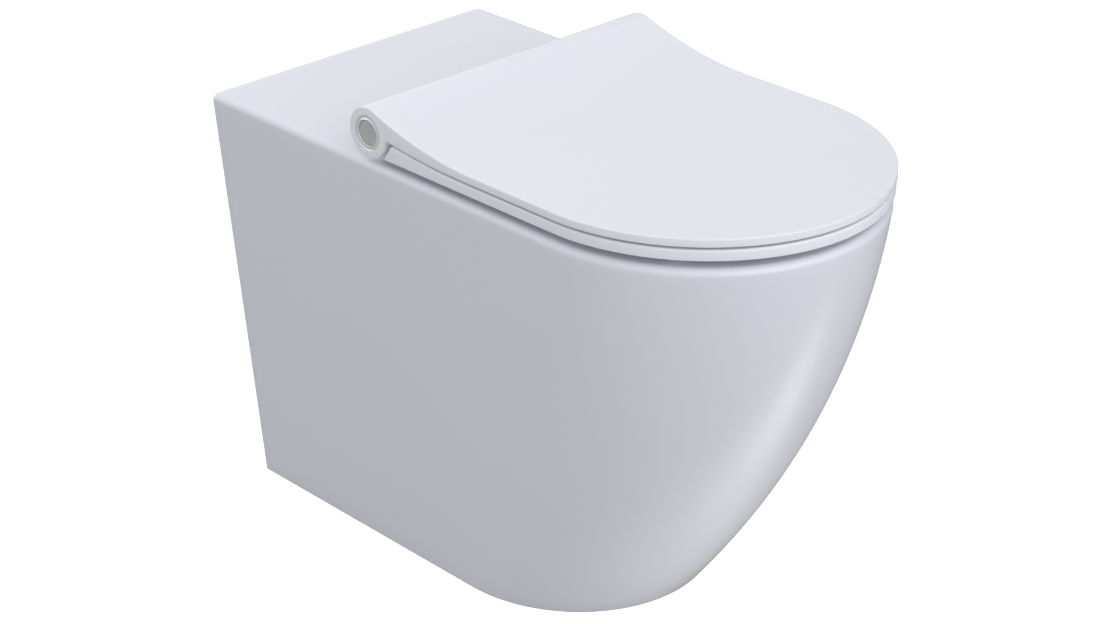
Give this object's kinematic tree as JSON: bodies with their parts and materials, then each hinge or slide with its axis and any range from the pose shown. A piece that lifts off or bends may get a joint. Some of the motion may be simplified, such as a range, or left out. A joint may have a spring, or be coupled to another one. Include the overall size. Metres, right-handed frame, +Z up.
{
  "type": "wall-faced toilet with soft-close seat",
  "caption": "Wall-faced ceramic toilet pan with smooth tapered sides and a slim D-shaped soft-close seat, whose lid wraps over a full-width hinge barrel.",
  "frame": {"origin": "on the floor, under the middle of the object's overall box", "axes": "+Z up, the front faces -Y, the wall side faces +Y, +X to the right seen from the front (viewer's right)"},
  "size_m": [0.3612, 0.6666, 0.496],
  "materials": {
    "ceramic": "white vitreous glaze, glossy",
    "seat_plastic": "moulded white thermoset, satin gloss",
    "hinge_plastic": "moulded pale grey, matt",
    "chrome_trim": "polished chrome",
    "cap_grey": "moulded grey, fine satin",
    "stainless": "turned stainless",
    "buffer_rubber": "pale grey soft rubber",
    "black_rubber": "black rubber"
  },
  "bodies": {
    "pan_body": {"pan": "ceramic", "hinge_post_left": "hinge_plastic", "hinge_post_right": "hinge_plastic", "hinge_base_left": "chrome_trim", "hinge_base_right": "chrome_trim", "hinge_pin_left": "stainless", "hinge_pin_right": "stainless", "seat_stud_left": "stainless", "seat_stud_right": "stainless", "stud_sleeve_left": "black_rubber", "stud_sleeve_right": "black_rubber", "stud_washer_left": "stainless", "stud_washer_right": "stainless", "wing_nut_left": "hinge_plastic", "wing_nut_right": "hinge_plastic", "inlet_seal": "black_rubber", "outlet_seal": "buffer_rubber"},
    "lid_body": {"lid": "seat_plastic", "end_bezel_left": "chrome_trim", "end_bezel_right": "chrome_trim", "end_disc_left": "cap_grey", "end_disc_right": "cap_grey", "lid_damper_left": "hinge_plastic", "lid_bush_right": "hinge_plastic", "lid_buffer_left": "buffer_rubber", "lid_buffer_right": "buffer_rubber"},
    "ring_body": {"seat_ring": "seat_plastic", "ring_damper_right": "hinge_plastic", "ring_bush_left": "hinge_plastic", "ring_buffer_front_left": "buffer_rubber", "ring_buffer_front_right": "buffer_rubber", "ring_buffer_rear_left": "buffer_rubber", "ring_buffer_rear_right": "buffer_rubber"}
  },
  "joints": [
    {"name": "lid_hinge", "type": "hinge", "parent": "pan_body", "child": "lid_body", "pos_m": [0, 0.0943, 0.471], "axis": [-1, 0, 0], "range_deg": [0, 105]},
    {"name": "ring_hinge", "type": "hinge", "parent": "pan_body", "child": "ring_body", "pos_m": [0, 0.0943, 0.471], "axis": [-1, 0, 0], "range_deg": [0, 97]}
  ],
  "couplings": [
    {"joint": "ring_hinge", "follows": "lid_hinge", "ratio": 0.92}
  ]
}
